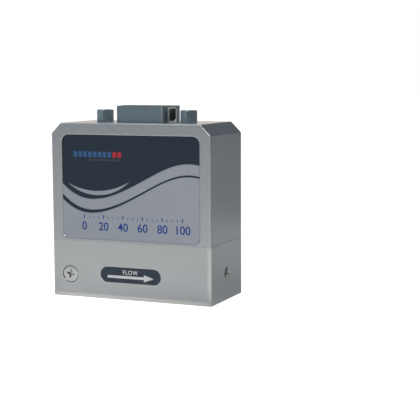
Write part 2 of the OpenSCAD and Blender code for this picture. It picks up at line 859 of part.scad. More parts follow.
module sensor_seals() {
  color([0.10, 0.10, 0.11])
    for (x = tap_x)
      translate([x, 0, land_z - cord_r])
        o_ring(tap_cord_r, cord_r - cord_gap);
}

module at_sensor(z) {
  translate([-sensor_x, 0, z])
    children();
}

// Holes for the two screws through one layer of the sensor stack
module sensor_holes(h) {
  for (at = sensor_screw_at)
    translate([at[0] + sensor_x, at[1], -past])
      cylinder(h = h + 2 * past, r = small_r + land_gap);
}

module sensor_manifold() {
  color([0.80, 0.78, 0.70])
    at_sensor(land_z)
      difference() {
        slab(sensor_l, sensor_d, manifold_t, 1);
        for (s = [-1, 1])
          translate([s * tap_pitch / 2, 0, -past])
            cylinder(h = manifold_t + 2 * past, r = tap_r);
        translate([-tap_pitch / 2, -channel_w / 2, manifold_t - channel_depth])
          cube([tap_pitch, channel_w, channel_depth + past]);
        sensor_holes(manifold_t);
      }
}

module sensor_gasket() {
  color([0.25, 0.25, 0.27])
    at_sensor(gasket_z)
      difference() {
        slab(sensor_l, sensor_d, gasket_t, 1);
        translate([-sensor_chip_w / 2 - 0.2, -sensor_chip_w / 2 - 0.2, -past])
          cube([sensor_chip_w + 0.4, sensor_chip_w + 0.4, gasket_t + 2 * past]);
        sensor_holes(gasket_t);
      }
}

module sensor_board() {
  color([0.10, 0.35, 0.22])
    at_sensor(sensor_board_z)
      difference() {
        slab(sensor_l, sensor_d, sensor_board_t, 1);
        sensor_holes(sensor_board_t);
      }
}

module sensor_chip() {
  chip_t = gasket_t - 0.1;
  color([0.15, 0.15, 0.17])
    at_sensor(sensor_board_z - chip_t)
      translate([-sensor_chip_w / 2, -sensor_chip_w / 2, 0])
        cube([sensor_chip_w, sensor_chip_w, chip_t]);
}

// Strip of pins that stands on the sensor's board and rises along the main board's face
module sensor_header() {
  pitch = 1.27;
  pin_side_r = 0.2;
  pin_y = -board_t / 2 - pin_side_r - face_gap;
  body_t = board_z - sensor_top_z - 0.15;
  color([0.13, 0.13, 0.14])
    at_sensor(sensor_top_z) {
      translate([-3 * pitch, pin_y - 1, 0])
        cube([6 * pitch, 2, body_t]);
      for (k = [-2.5:2.5])
        translate([k * pitch, pin_y, body_t / 2])
          cylinder(h = board_z - sensor_top_z + 3 - body_t / 2, r = pin_side_r, $fn = 16);
    }
}

module sensor_screws() {
  color([0.66, 0.67, 0.68])
    for (at = sensor_screw_at)
      translate([at[0], at[1], sensor_top_z])
        small_screw(sensor_top_z - land_z + foot_screw_l - 0.3, small_r - insert_gap);
}

module main_board() {
  color([0.08, 0.32, 0.20])
    difference() {
      upright(-board_t / 2, board_t / 2)
        union() {
          translate([board_left_x, board_z])
            square([board_w, board_top_z - board_z]);
          translate([board_left_x, arm_z])
            square([arm_end_x - board_left_x, board_top_z - arm_z]);
        }
      for (x = bracket_x)
        translate([x, 0, bracket_screw_z])
          rotate([90, 0, 0])
            cylinder(h = 2 * board_t, r = small_r + land_gap, center = true);
    }
}

// A flat-bodied component on the front (-1) or back (1) face of the main board
module on_board(x, z, w, h, t, face) {
  translate([x - w / 2, face > 0 ? board_t / 2 : -board_t / 2 - t, z - h / 2])
    cube([w, t, h]);
}

board_mid_x = board_left_x + board_w / 2;
board_mid_z = (board_z + board_top_z) / 2;

module processor() {
  color([0.12, 0.12, 0.13])
    on_board(board_mid_x + 4, board_mid_z + 1.5, 7, 7, 1, -1);
}

module board_parts() {
  color([0.55, 0.45, 0.33])
    for (k = [0:5])
      on_board(board_mid_x - 9 + 1.6 * k, board_mid_z + 1.5, 0.8, 1.6, 0.6, -1);
  color([0.15, 0.15, 0.16]) {
    on_board(board_mid_x - 5, board_mid_z + 5, 5, 3, 1.2, -1);
    on_board(board_mid_x + 6, board_mid_z + 2, 4, 5, 1.4, 1);
  }
}

module power_inductor() {
  color([0.25, 0.25, 0.27])
    on_board(board_mid_x - 1, board_mid_z + 2, 5, 5, 3, 1);
}

module board_capacitors() {
  color([0.70, 0.68, 0.62])
    for (z = [-1, 1])
      on_board(board_mid_x - 8, board_mid_z + 2 + 2.4 * z, 4.3, 3.2, 2.8, 1);
}

module board_brackets() {
  color([0.72, 0.73, 0.74])
    for (x = bracket_x)
      translate([x - bracket_w / 2, board_t / 2, land_z])
        difference() {
          union() {
            cube([bracket_w, bracket_d, bracket_t]);
            cube([bracket_w, bracket_t, bracket_h]);
          }
          translate([bracket_w / 2, bracket_foot_y - board_t / 2, -past])
            cylinder(h = bracket_t + 2 * past, r = small_r + land_gap);
          translate([bracket_w / 2, bracket_t / 2, bracket_screw_z - land_z])
            rotate([90, 0, 0])
              cylinder(h = 3 * bracket_t, r = small_r, center = true);
        }
}

module bracket_screws() {
  color([0.66, 0.67, 0.68])
    for (x = bracket_x) {
      translate([x, bracket_foot_y, land_z + bracket_t])
        small_screw(foot_screw_l + bracket_t - 0.3, small_r - insert_gap);
      translate([x, -board_t / 2, bracket_screw_z])
        rotate([90, 0, 0])
          small_screw(board_t + bracket_t, small_r - insert_gap);
    }
}

// Points along the arc at corner k, for an outline whose sides aren't square to each other
arc_steps = 8;
function arc_points(p, k, r) = let (
  c = arc_centre(p, k, r),
  e = arc_ends(p, k, r),
  a = atan2(e[0][1] - c[1], e[0][0] - c[0]),
  b = atan2(e[1][1] - c[1], e[1][0] - c[0]),
  turn = (b - a + 540) % 360 - 180)
  [for (i = [0:arc_steps]) c + r * [cos(a + turn * i / arc_steps), sin(a + turn * i / arc_steps)]];

// D outline, wide at the back, grown by g
module shell_outline(g) {
  lean = (shell_d + 2 * g) * tan(shell_slope);
  w = shell_w + 2 * g * (1 + sin(shell_slope)) / cos(shell_slope);
  d = shell_d + 2 * g;
  corners = [[-w / 2, d / 2], [w / 2, d / 2], [w / 2 - lean, -d / 2], [lean - w / 2, -d / 2]];
  polygon([for (k = [0:3]) for (q = arc_points(corners, k, max(shell_r + g, 0.2))) q]);
}

module connector_shell() {
  color([0.62, 0.65, 0.67])
    difference() {
      union() {
        translate([0, 0, flange_back_z])
          slab(flange_w, flange_d, flange_t, 1);
        translate([0, 0, flange_back_z])
          linear_extrude(flange_t + shell_h)
            shell_outline(0);
      }
      translate([0, 0, flange_back_z - past])
        linear_extrude(flange_t + shell_h + 2 * past)
          shell_outline(-shell_wall);
      translate([-shell_w, 0, body_h + window_sill + window_h / 2])
        rotate([90, 0, 90])
          linear_extrude(2 * shell_w)
            rounded(box_corners(window_w, window_h), window_r);
      for (s = [-1, 1])
        translate([s * jack_pitch / 2, 0, flange_back_z - past])
          cylinder(h = flange_t + 2 * past, r = jack_shank_r + land_gap);
    }
}

module connector_rear_shell() {
  color([0.58, 0.60, 0.62])
    difference() {
      union() {
        translate([0, 0, rear_plate_z])
          slab(flange_w, flange_d, rear_flange_t, 1);
        translate([0, 0, rear_z + rear_flange_t])
          slab(rear_shell_w, rear_shell_d, rear_plate_z - rear_z, rear_shell_r);
      }
      translate([0, 0, rear_z - past])
        slab(rear_shell_w - 2 * rear_shell_wall, rear_shell_d - 2 * rear_shell_wall, rear_depth + past,
          rear_shell_r - rear_shell_wall);
      for (s = [-1, 1])
        translate([s * jack_pitch / 2, 0, rear_plate_z - past])
          cylinder(h = rear_flange_t + 2 * past, r = jack_shank_r + land_gap);
    }
}

module connector_insulator() {
  inset = rear_shell_wall + insulator_gap;
  color([0.14, 0.14, 0.15])
    difference() {
      union() {
        translate([0, 0, rear_z])
          slab(rear_shell_w - 2 * inset, rear_shell_d - 2 * inset, flange_back_z - rear_z,
            rear_shell_r - inset);
        translate([0, 0, rear_z])
          linear_extrude(insulator_face_z - rear_z)
            shell_outline(-shell_wall - insulator_gap);
      }
      for (at = concat(wide_row, narrow_row))
        translate([at[0], at[1], rear_z - past])
          cylinder(h = rear_depth + shell_h, r = pin_r + insert_gap);
    }
}

module connector_pins() {
  tip = 0.45;
  color([0.83, 0.69, 0.38])
    for (at = concat(wide_row, narrow_row))
      translate([at[0], at[1], rear_z - tail_l]) {
        cylinder(h = tail_l, r = tail_r);
        cylinder(h = shell_top_z - 0.5 - tip - rear_z + tail_l, r = pin_r);
        translate([0, 0, shell_top_z - 0.5 - tip - rear_z + tail_l])
          cylinder(h = tip, r1 = pin_r, r2 = pin_r / 2);
      }
}

module jackscrews() {
  shank_l = body_h - rear_plate_z + 2.6;
  color([0.60, 0.62, 0.64])
    for (s = [-1, 1])
      translate([s * jack_pitch / 2, 0, body_h])
        difference() {
          union() {
            rotate([0, 0, jack_turn])
              cylinder(h = jack_h, d = jack_af / cos(30), $fn = 6);
            translate([0, 0, -shank_l])
              cylinder(h = shank_l + past, r = jack_shank_r);
          }
          translate([0, 0, jack_h - jack_bore_depth])
            cylinder(h = jack_bore_depth + past, r = jack_bore_r);
        }
}

module clinch_nuts() {
  nut_r = 2.4;
  nut_l = 2.2;
  color([0.68, 0.69, 0.70])
    for (s = [-1, 1])
      translate([s * jack_pitch / 2, 0, rear_plate_z - nut_l])
        tube_ring(jack_shank_r + insert_gap, nut_r, nut_l);
}

flow_block();
cover();
cover_seal();
front_label();
front_label_print();
back_label();
flow_badge();
flow_arrow();
front_screw();
laminar_element();
inlet_screen();
valve_seat();
valve_seal();
core_tube();
fixed_core();
coil_bobbin();
coil_winding();
coil_terminals();
valve_yoke();
valve_nut();
valve_screws();
plunger();
poppet_seal();
plunger_spring();
sensor_seals();
sensor_manifold();
sensor_gasket();
sensor_board();
sensor_chip();
sensor_header();
sensor_screws();
main_board();
processor();
board_parts();
power_inductor();
board_capacitors();
board_brackets();
bracket_screws();
connector_shell();
connector_rear_shell();
connector_insulator();
connector_pins();
jackscrews();
clinch_nuts();
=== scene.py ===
"""Scene for a small in-line gas mass flow controller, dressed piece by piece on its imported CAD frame."""
import math

import bmesh
import bpy
from mathutils import Matrix, Vector


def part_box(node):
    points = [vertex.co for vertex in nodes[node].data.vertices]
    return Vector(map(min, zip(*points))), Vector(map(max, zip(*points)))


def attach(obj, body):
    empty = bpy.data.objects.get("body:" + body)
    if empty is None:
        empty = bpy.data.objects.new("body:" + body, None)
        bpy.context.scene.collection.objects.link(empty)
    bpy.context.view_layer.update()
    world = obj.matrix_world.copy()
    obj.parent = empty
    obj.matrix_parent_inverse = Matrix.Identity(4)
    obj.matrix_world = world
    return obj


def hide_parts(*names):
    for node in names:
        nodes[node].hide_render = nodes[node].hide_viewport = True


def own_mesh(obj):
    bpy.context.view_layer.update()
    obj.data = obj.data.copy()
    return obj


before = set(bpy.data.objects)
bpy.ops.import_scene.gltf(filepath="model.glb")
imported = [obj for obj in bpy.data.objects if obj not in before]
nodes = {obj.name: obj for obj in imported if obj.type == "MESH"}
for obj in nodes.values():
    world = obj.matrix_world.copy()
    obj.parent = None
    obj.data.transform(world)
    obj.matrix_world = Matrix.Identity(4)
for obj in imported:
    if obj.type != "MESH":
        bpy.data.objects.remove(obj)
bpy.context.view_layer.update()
MM = 0.001

# Camera, floor and lights
# The camera stands to the right of the front and looks slightly down, as fitted to the photograph.
# It sees the floor and the room plain and white, while the metal mirrors them in softer tones.
# Two broad soft lights shape the metal, and a small one draws the bright line on the right corner cut.
YAW = math.radians(22.82)
PITCH = math.radians(6.73)
ROLL = math.radians(-0.22)
SIGHT_DISTANCE = 311.47 * MM
SIGHT_OFFSET = (-17.03 * MM, 0.23 * MM)
AIM = Vector((0, 0, 23.25 * MM))
LENS_MM = 98.06
SENSOR_MM = 36
CLIP_START = 10 * MM

forward = Vector((-math.sin(YAW) * math.cos(PITCH), math.cos(YAW) * math.cos(PITCH), -math.sin(PITCH)))
level_right = Vector((math.cos(YAW), math.sin(YAW), 0))
level_up = level_right.cross(forward)
right = math.cos(ROLL) * level_right + math.sin(ROLL) * level_up
up = math.cos(ROLL) * level_up - math.sin(ROLL) * level_right
place = AIM - forward * SIGHT_DISTANCE - level_right * SIGHT_OFFSET[0] - level_up * SIGHT_OFFSET[1]

camera_data = bpy.data.cameras.new("camera")
camera_data.lens = LENS_MM
camera_data.sensor_width = SENSOR_MM
camera_data.clip_start = CLIP_START
camera = bpy.data.objects.new("camera", camera_data)
camera.matrix_world = Matrix((right, up, -forward)).transposed().to_4x4()
camera.location = place
bpy.context.scene.collection.objects.link(camera)
bpy.context.scene.camera = camera
bpy.context.scene.view_settings.view_transform = "Standard"

FLOOR_SIZE = 6.0
FLOOR_FRONT = (0.66, 0.66, 0.66)
FLOOR_BACK = (0.165, 0.178, 0.192)
# Where the floor turns from its front tone to its back one, as X plus Y in metres.
FLOOR_TURNS = (-0.10, 0.06)
FLOOR_ROUGHNESS = 0.85
FLOOR_GLOW = 0.05
FLOOR_TINT = (0.90, 0.96, 1.0)
WARM_TINT = (1.0, 0.95, 0.90)
# Each pool of light that the metal mirrors in the floor: its middle and half sizes in metres, the share
# of it at full strength, its strength, and 1 where its light is warm.
POOLS = (
    ((-0.03, -0.05), (0.115, 0.115), 0.17, 0.14, 0),
    ((0.036, -0.034), (0.028, 0.028), 0.3, 0.30, 1),
    ((0.072, 0.115), (0.07, 0.07), 0.0, 0.30, 0),
    ((-0.004, -0.022), (0.034, 0.034), 0.5, 0.10, 0),
    ((0.045, 0.05), (0.05, 0.05), 0.0, 0.17, 0),
    ((0.32, 0.32), (0.17, 0.17), 0.3, 0.6, 1),
    ((0.09, -0.30), (0.16, 0.16), 0.2, 0.4, 1),
    ((0.14, -0.42), (0.04, 0.04), 0.3, 7.0, 0),
    ((0.06, 0.42), (0.07, 0.07), 0.3, 1.3, 1),
    ((0.075, -0.10), (0.065, 0.14), 0.8, 0.4, 1),
    ((0.002, -0.0118), (0.035, 0.0028), 0.6, 0.25, 1),
)

floor_mesh = bpy.data.meshes.new("floor")
bm = bmesh.new()
bmesh.ops.create_grid(bm, x_segments=1, y_segments=1, size=FLOOR_SIZE / 2)
bm.to_mesh(floor_mesh)
bm.free()
floor = bpy.data.objects.new("floor", floor_mesh)
bpy.context.scene.collection.objects.link(floor)
floor_look = bpy.data.materials.new("pale_floor")
floor_look.use_nodes = True
tree = floor_look.node_tree
floor_shader = tree.nodes["Principled BSDF"]
floor_shader.inputs["Roughness"].default_value = FLOOR_ROUGHNESS
ground = tree.nodes.new("ShaderNodeTexCoord")
across = tree.nodes.new("ShaderNodeVectorMath")
across.operation = "DOT_PRODUCT"
across.inputs[1].default_value = (1, 1, 0)
shade = tree.nodes.new("ShaderNodeMapRange")
shade.inputs["From Min"].default_value = FLOOR_TURNS[0]
shade.inputs["From Max"].default_value = FLOOR_TURNS[1]
paint = tree.nodes.new("ShaderNodeMix")
paint.data_type = "RGBA"
paint.inputs["A"].default_value = (*FLOOR_FRONT, 1)
paint.inputs["B"].default_value = (*FLOOR_BACK, 1)
tree.links.new(ground.outputs["Object"], across.inputs[0])
tree.links.new(across.outputs["Value"], shade.inputs["Value"])
tree.links.new(shade.outputs["Result"], paint.inputs["Factor"])
tree.links.new(paint.outputs["Result"], floor_shader.inputs["Base Color"])
level = None
warmed = None
for middle, size, core, strength, warmth in POOLS:
    shrunk = tree.nodes.new("ShaderNodeVectorMath")
    shrunk.operation = "MULTIPLY"
    shrunk.inputs[1].default_value = (1 / size[0], 1 / size[1], 0)
    near = tree.nodes.new("ShaderNodeVectorMath")
    near.operation = "DISTANCE"
    near.inputs[1].default_value = (middle[0] / size[0], middle[1] / size[1], 0)
    pool = tree.nodes.new("ShaderNodeMapRange")
    pool.interpolation_type = "SMOOTHSTEP"
    pool.inputs["From Min"].default_value = core
    pool.inputs["From Max"].default_value = 1
    pool.inputs["To Min"].default_value = strength
    pool.inputs["To Max"].default_value = 0
    total = tree.nodes.new("ShaderNodeMath")
    share = tree.nodes.new("ShaderNodeMath")
    share.operation = "MULTIPLY_ADD"
    share.inputs[1].default_value = warmth / strength
    tree.links.new(ground.outputs["Object"], shrunk.inputs[0])
    tree.links.new(shrunk.outputs["Vector"], near.inputs[0])
    tree.links.new(near.outputs["Value"], pool.inputs["Value"])
    tree.links.new(pool.outputs["Result"], total.inputs[0])
    tree.links.new(pool.outputs["Result"], share.inputs[0])
    if level:
        tree.links.new(level, total.inputs[1])
        tree.links.new(warmed, share.inputs[2])
    else:
        total.inputs[1].default_value = FLOOR_GLOW
        share.inputs[2].default_value = 0
    level = total.outputs["Value"]
    warmed = share.outputs["Value"]
warm = tree.nodes.new("ShaderNodeMix")
warm.data_type = "RGBA"
warm.inputs["A"].default_value = (*FLOOR_TINT, 1)
warm.inputs["B"].default_value = (*WARM_TINT, 1)
tree.links.new(warmed, warm.inputs["Factor"])
floor_seen = tree.nodes.new("ShaderNodeLightPath")
tint = tree.nodes.new("ShaderNodeMix")
tint.data_type = "RGBA"
tint.inputs["B"].default_value = (1, 1, 1, 1)
tree.links.new(floor_seen.outputs["Is Camera Ray"], tint.inputs["Factor"])
tree.links.new(warm.outputs["Result"], tint.inputs["A"])
tree.links.new(tint.outputs["Result"], floor_shader.inputs["Emission Color"])
glow = tree.nodes.new("ShaderNodeMapRange")
glow.inputs["To Max"].default_value = 1.0
tree.links.new(floor_seen.outputs["Is Camera Ray"], glow.inputs["Value"])
tree.links.new(level, glow.inputs["To Min"])
tree.links.new(glow.outputs["Result"], floor_shader.inputs["Emission Strength"])
floor_mesh.materials.append(floor_look)

BACK_LOW = (0.085, 0.105, 0.125)
# Each zone of the room laid over the low back: its colour, the way towards it, and how closely a
# direction has to point that way for the zone to start and to be full.
ROOM_ZONES = (
    ((0.155, 0.20, 0.25), (0, -1, 0), -0.2, 0.9),
    ((0.30, 0.30, 0.30), (0.7, 0.7, 0), 0.75, 0.97),
    ((0.09, 0.08, 0.075), (0.82, -0.57, 0), 0.8, 0.97),
    ((0.62, 0.58, 0.52), (0.25, -0.97, 0), 0.93, 0.99),
    ((0.46, 0.44, 0.41), (0, 0, 1), 0.45, 0.95),
    ((0.85, 0.78, 0.70), (-0.38, 0.91, 0.15), 0.95, 0.985),
)

room = bpy.data.worlds.new("room")
room.use_nodes = True
bpy.context.scene.world = room
air = room.node_tree
toward = air.nodes.new("ShaderNodeTexCoord")


def facing(direction, low, high):
    """1 where the room lies towards the direction, 0 where it lies away from it."""
    dot = air.nodes.new("ShaderNodeVectorMath")
    dot.operation = "DOT_PRODUCT"
    dot.inputs[1].default_value = direction
    air.links.new(toward.outputs["Generated"], dot.inputs[0])
    ramp = air.nodes.new("ShaderNodeMapRange")
    ramp.interpolation_type = "SMOOTHSTEP"
    ramp.inputs["From Min"].default_value = low
    ramp.inputs["From Max"].default_value = high
    air.links.new(dot.outputs["Value"], ramp.inputs["Value"])
    return ramp.outputs["Result"]


# The metal mirrors the toned room, and the camera sees it white.
mirrored = None
for colour, direction, low, high in ROOM_ZONES:
    zone = air.nodes.new("ShaderNodeMix")
    zone.data_type = "RGBA"
    air.links.new(facing(direction, low, high), zone.inputs["Factor"])
    if mirrored:
        air.links.new(mirrored, zone.inputs["A"])
    else:
        zone.inputs["A"].default_value = (*BACK_LOW, 1)
    zone.inputs["B"].default_value = (*colour, 1)
    mirrored = zone.outputs["Result"]
room_seen = air.nodes.new("ShaderNodeLightPath")
air_colour = air.nodes.new("ShaderNodeMix")
air_colour.data_type = "RGBA"
air_colour.inputs["B"].default_value = (1, 1, 1, 1)
air.links.new(room_seen.outputs["Is Camera Ray"], air_colour.inputs["Factor"])
air.links.new(mirrored, air_colour.inputs["A"])
air.links.new(air_colour.outputs["Result"], air.nodes["Background"].inputs["Color"])

LAMP_AIM = (0, 0, 0.02)
RIM_AIM = (0, 0, 0.03)


def soft_light(name, at, aim, width, height, power, colour=(1, 1, 1)):
    """A flat lamp of a given size in metres and power in watts, turned towards a point."""
    data = bpy.data.lights.new(name, "AREA")
    data.shape = "RECTANGLE"
    data.size = width
    data.size_y = height
    data.energy = power
    data.color = colour
    lamp = bpy.data.objects.new(name, data)
    lamp.location = at
    lamp.rotation_euler = (Vector(aim) - Vector(at)).to_track_quat("-Z", "Y").to_euler()
    bpy.context.scene.collection.objects.link(lamp)


soft_light("key", (-0.7, -0.9, 0.9), LAMP_AIM, 1.4, 1.4, 2.9)
soft_light("top", (0.0, 0.5, 1.1), LAMP_AIM, 1.2, 0.8, 4, (1.0, 0.97, 0.93))
soft_light("rim", (0.62, -0.43, 0.97), RIM_AIM, 0.4, 0.4, 5.5)

# Flow block
# The body of the instrument, machined from a bar of aluminium, blasted fine and clear anodised.
# The ports, passages and screw holes are cut in it, and everything else is screwed to it.
BLOCK_EDGE = 0.15 * MM
BLAST_SIZE = 5000
CLOUD_SIZE = 60
TEXTURE_DEPTH = 0.02 * MM
EDGE_SAMPLES = 12


def finish(name, metallic):
    """A new material with its shader and its node tree."""
    look = bpy.data.materials.new(name)
    look.use_nodes = True
    shader = look.node_tree.nodes["Principled BSDF"]
    shader.inputs["Metallic"].default_value = metallic
    return look, shader, look.node_tree


def noise(tree, place, scale, detail):
    """Noise that stays with the piece."""
    pattern = tree.nodes.new("ShaderNodeTexNoise")
    pattern.inputs["Scale"].default_value = scale
    pattern.inputs["Detail"].default_value = detail
    tree.links.new(place.outputs["Object"], pattern.inputs["Vector"])
    return pattern.outputs["Fac"]


def tone(tree, shader, pattern, colour, variation):
    """The colour, slightly darker and lighter where the pattern is low and high."""
    mix = tree.nodes.new("ShaderNodeMix")
    mix.data_type = "RGBA"
    mix.inputs["A"].default_value = (*[c * (1 - variation) for c in colour], 1)
    mix.inputs["B"].default_value = (*[min(1, c * (1 + variation)) for c in colour], 1)
    tree.links.new(pattern, mix.inputs["Factor"])
    tree.links.new(mix.outputs["Result"], shader.inputs["Base Color"])


def texture(tree, shader, pattern, roughness, spread, grain):
    """Roughness that follows the pattern, and a fine relief from it; returns the relief."""
    gloss = tree.nodes.new("ShaderNodeMapRange")
    gloss.inputs["To Min"].default_value = roughness * (1 - spread)
    gloss.inputs["To Max"].default_value = min(1, roughness * (1 + spread))
    tree.links.new(pattern, gloss.inputs["Value"])
    tree.links.new(gloss.outputs["Result"], shader.inputs["Roughness"])
    relief = tree.nodes.new("ShaderNodeBump")
    relief.inputs["Strength"].default_value = grain
    relief.inputs["Distance"].default_value = TEXTURE_DEPTH
    tree.links.new(pattern, relief.inputs["Height"])
    tree.links.new(relief.outputs["Normal"], shader.inputs["Normal"])
    return relief


def anodised(name, colour, roughness, grain, broken_edge):
    """Clear anodised aluminium: fine blasting, cloudiness from the bath, and edges broken to a radius."""
    look, shader, tree = finish(name, 1.0)
    place = tree.nodes.new("ShaderNodeTexCoord")
    tone(tree, shader, noise(tree, place, CLOUD_SIZE, 3), colour, 0.04)
    relief = texture(tree, shader, noise(tree, place, BLAST_SIZE, 4), roughness, 0.10, grain)
    edge = tree.nodes.new("ShaderNodeBevel")
    edge.samples = EDGE_SAMPLES
    edge.inputs["Radius"].default_value = broken_edge
    tree.links.new(edge.outputs["Normal"], relief.inputs["Normal"])
    return look


def dress(node, look):
    """Gives a carried CAD node its finish."""
    mesh = nodes[node].data
    if mesh.materials:
        mesh.materials[0] = look
    else:
        mesh.materials.append(look)


block_look = anodised("block_anodised", (0.60, 0.61, 0.61), 0.26, 0.12, BLOCK_EDGE)
dress("flow_block", block_look)

# Cover
# A shell of aluminium over the electronics, open below, with its two upper corners cut.
# It sits on the block round the land, and the jackscrews hold it down.
COVER_EDGE = 0.38 * MM
cover_look = anodised("cover_anodised", (0.56, 0.575, 0.59), 0.28, 0.15, COVER_EDGE)
dress("cover", cover_look)

# Port threads
# Both ports are tapped for small fittings, and the drilled bores carry no thread of their own.
# Each thread is a thin spiral ridge of the block's metal standing on the bore's wall.
MOTTLE_SIZE = 220
COAT_ROUGHNESS = 0.12
PORT_Z = 7.25 * MM
PORT_BORE = 1.45 * MM
PORT_PITCH = 0.6 * MM
PORT_DEPTH = 0.17 * MM
PORT_START = 0.5 * MM
PORT_THREADED = 4.6 * MM
BLOCK_END = 23.25 * MM
# The ridge's section in shares of the pitch: half its width at the foot and the crest, and how far
# its foot is let into the metal.
RIDGE_FOOT = 0.42
RIDGE_CREST = 0.07
RIDGE_BURIED = 0.03


def plain_finish(name, colour, roughness, metallic=0.0, coat=0.0, variation=0.05, grain=0.1, grain_size=2500):
    """A moulded, plated or printed finish with slight variation and fine texture."""
    look, shader, tree = finish(name, metallic)
    shader.inputs["Coat Weight"].default_value = coat
    shader.inputs["Coat Roughness"].default_value = COAT_ROUGHNESS
    place = tree.nodes.new("ShaderNodeTexCoord")
    tone(tree, shader, noise(tree, place, MOTTLE_SIZE, 3), colour, variation)
    texture(tree, shader, noise(tree, place, grain_size, 2), roughness, 0.12, grain)
    return look


def piece(name, bm, look, smooth=35):
    """Turns a bmesh into a piece of the scene, smooth across shallow edges and riding the housing."""
    bmesh.ops.recalc_face_normals(bm, faces=bm.faces[:])
    limit = math.radians(smooth)
    for face in bm.faces:
        face.smooth = True
    for edge in bm.edges:
        edge.smooth = len(edge.link_faces) == 2 and edge.calc_face_angle(0) < limit
    mesh = bpy.data.meshes.new(name)
    bm.to_mesh(mesh)
    bm.free()
    obj = bpy.data.objects.new(name, mesh)
    bpy.context.scene.collection.objects.link(obj)
    mesh.materials.append(look)
    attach(obj, "housing")
    return obj


def thread(name, start, along, radius, depth, pitch, length, look, inward=True, steps=36):
    """A spiral ridge round an axis: on a bore's wall pointing in, or round a stem pointing out."""
    sign = -1 if inward else 1
    foot = radius - sign * RIDGE_BURIED * pitch
    crest = radius + sign * depth
    section = ((foot, -RIDGE_FOOT), (crest, -RIDGE_CREST), (crest, RIDGE_CREST), (foot, RIDGE_FOOT))
    bm = bmesh.new()
    corners = [bm.verts.new((r, 0, h * pitch)) for r, h in section]
    edges = [bm.edges.new((corners[k - 1], corners[k])) for k in range(len(corners))]
    turns = length / pitch
    count = max(8, int(turns * steps))
    bmesh.ops.spin(bm, geom=corners + edges, cent=(0, 0, 0), axis=(0, 0, 1), dvec=(0, 0, length / count),
                   angle=2 * math.pi * turns, steps=count)
    ends = [e for e in bm.edges if len(e.link_faces) == 1]
    bmesh.ops.holes_fill(bm, edges=ends, sides=4)
    turn = Vector((0, 0, 1)).rotation_difference(Vector(along)).to_matrix().to_4x4()
    bmesh.ops.transform(bm, matrix=Matrix.Translation(start) @ turn, verts=bm.verts[:])
    return piece(name, bm, look)


thread_look = plain_finish("thread_metal", (0.40, 0.40, 0.39), 0.32, metallic=1.0)
for name, sign in (("outlet_thread", 1), ("inlet_thread", -1)):
    ridge = thread(name, (sign * (BLOCK_END - PORT_START), 0, PORT_Z), (-sign, 0, 0),
                   PORT_BORE, PORT_DEPTH, PORT_PITCH, PORT_THREADED, thread_look)

# Flow path
# The gas comes in through a woven screen, crosses the laminar element and leaves past the valve.
# Screen, element and seat are stainless steel, and the seals are moulded fluoroelastomer.
stainless_look = plain_finish("stainless_steel", (0.55, 0.54, 0.52), 0.30, metallic=1.0, grain=0.15)
rubber_look = plain_finish("black_rubber", (0.018, 0.018, 0.020), 0.62, grain=0.3, grain_size=1800)
for node in ("laminar_element", "inlet_screen", "valve_seat", "core_tube", "plunger"):
    dress(node, stainless_look)
for node in ("cover_seal", "valve_seal", "poppet_seal", "sensor_seals"):
    dress(node, rubber_look)

# Solenoid valve
# A plunger of magnetic steel slides in a drawn tube, lifted by the coil round it.
# The yoke is plated steel, held on the tube by a brass nut and to the block by two screws.
yoke_look = plain_finish("plated_steel", (0.50, 0.49, 0.46), 0.34, metallic=1.0)
brass_look = plain_finish("turned_brass", (0.62, 0.46, 0.20), 0.28, metallic=1.0)
copper_look = plain_finish("enamelled_wire", (0.42, 0.16, 0.06), 0.32, metallic=0.7, coat=0.5, variation=0.15)
bobbin_look = plain_finish("moulded_bobbin", (0.10, 0.10, 0.11), 0.45)
gold_look = plain_finish("gold_plating", (0.78, 0.57, 0.20), 0.24, metallic=1.0)
dress("fixed_core", stainless_look)
dress("coil_bobbin", bobbin_look)
dress("coil_winding", copper_look)
dress("coil_terminals", gold_look)
dress("valve_yoke", yoke_look)
dress("valve_nut", brass_look)
screw_look = plain_finish("plated_screw_steel", (0.52, 0.52, 0.50), 0.28, metallic=1.0)
dress("valve_screws", screw_look)

# Plunger spring
# A coil spring of stainless wire in the plunger's pocket pushes the plunger down on its seat.
# Its upper end stays on the fixed core.
SPRING_WIRE_R = 0.16 * MM
SPRING_TURNS = 6
SPRING_STEPS = 28
WIRE_SIDES = 12
WELD = 1e-7
spring_low, spring_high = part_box("plunger_spring")
spring_axis = (spring_low + spring_high) / 2
coil_r = (spring_high.x - spring_low.x) / 2 - SPRING_WIRE_R
coil_foot = spring_low.z + SPRING_WIRE_R
coil_rise = spring_high.z - SPRING_WIRE_R - coil_foot
spring_bm = bmesh.new()
wire_start = Matrix.Translation((coil_r, 0, 0)) @ Matrix.Rotation(math.pi / 2, 4, "X")
bmesh.ops.create_circle(spring_bm, cap_ends=False, segments=WIRE_SIDES, radius=SPRING_WIRE_R,
                        matrix=wire_start)
coil_steps = SPRING_TURNS * SPRING_STEPS
bmesh.ops.spin(spring_bm, geom=spring_bm.verts[:] + spring_bm.edges[:], cent=(0, 0, 0),
               dvec=(0, 0, coil_rise / coil_steps), axis=(0, 0, 1), angle=2 * math.pi * SPRING_TURNS,
               steps=coil_steps)
bmesh.ops.remove_doubles(spring_bm, verts=spring_bm.verts[:], dist=WELD)
bmesh.ops.holes_fill(spring_bm, edges=[e for e in spring_bm.edges if e.is_boundary], sides=WIRE_SIDES)
bmesh.ops.recalc_face_normals(spring_bm, faces=spring_bm.faces[:])
bmesh.ops.translate(spring_bm, vec=(spring_axis.x, spring_axis.y, coil_foot), verts=spring_bm.verts[:])
spring = piece("plunger_coil_spring", spring_bm, stainless_look)
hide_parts("plunger_spring")
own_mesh(spring)

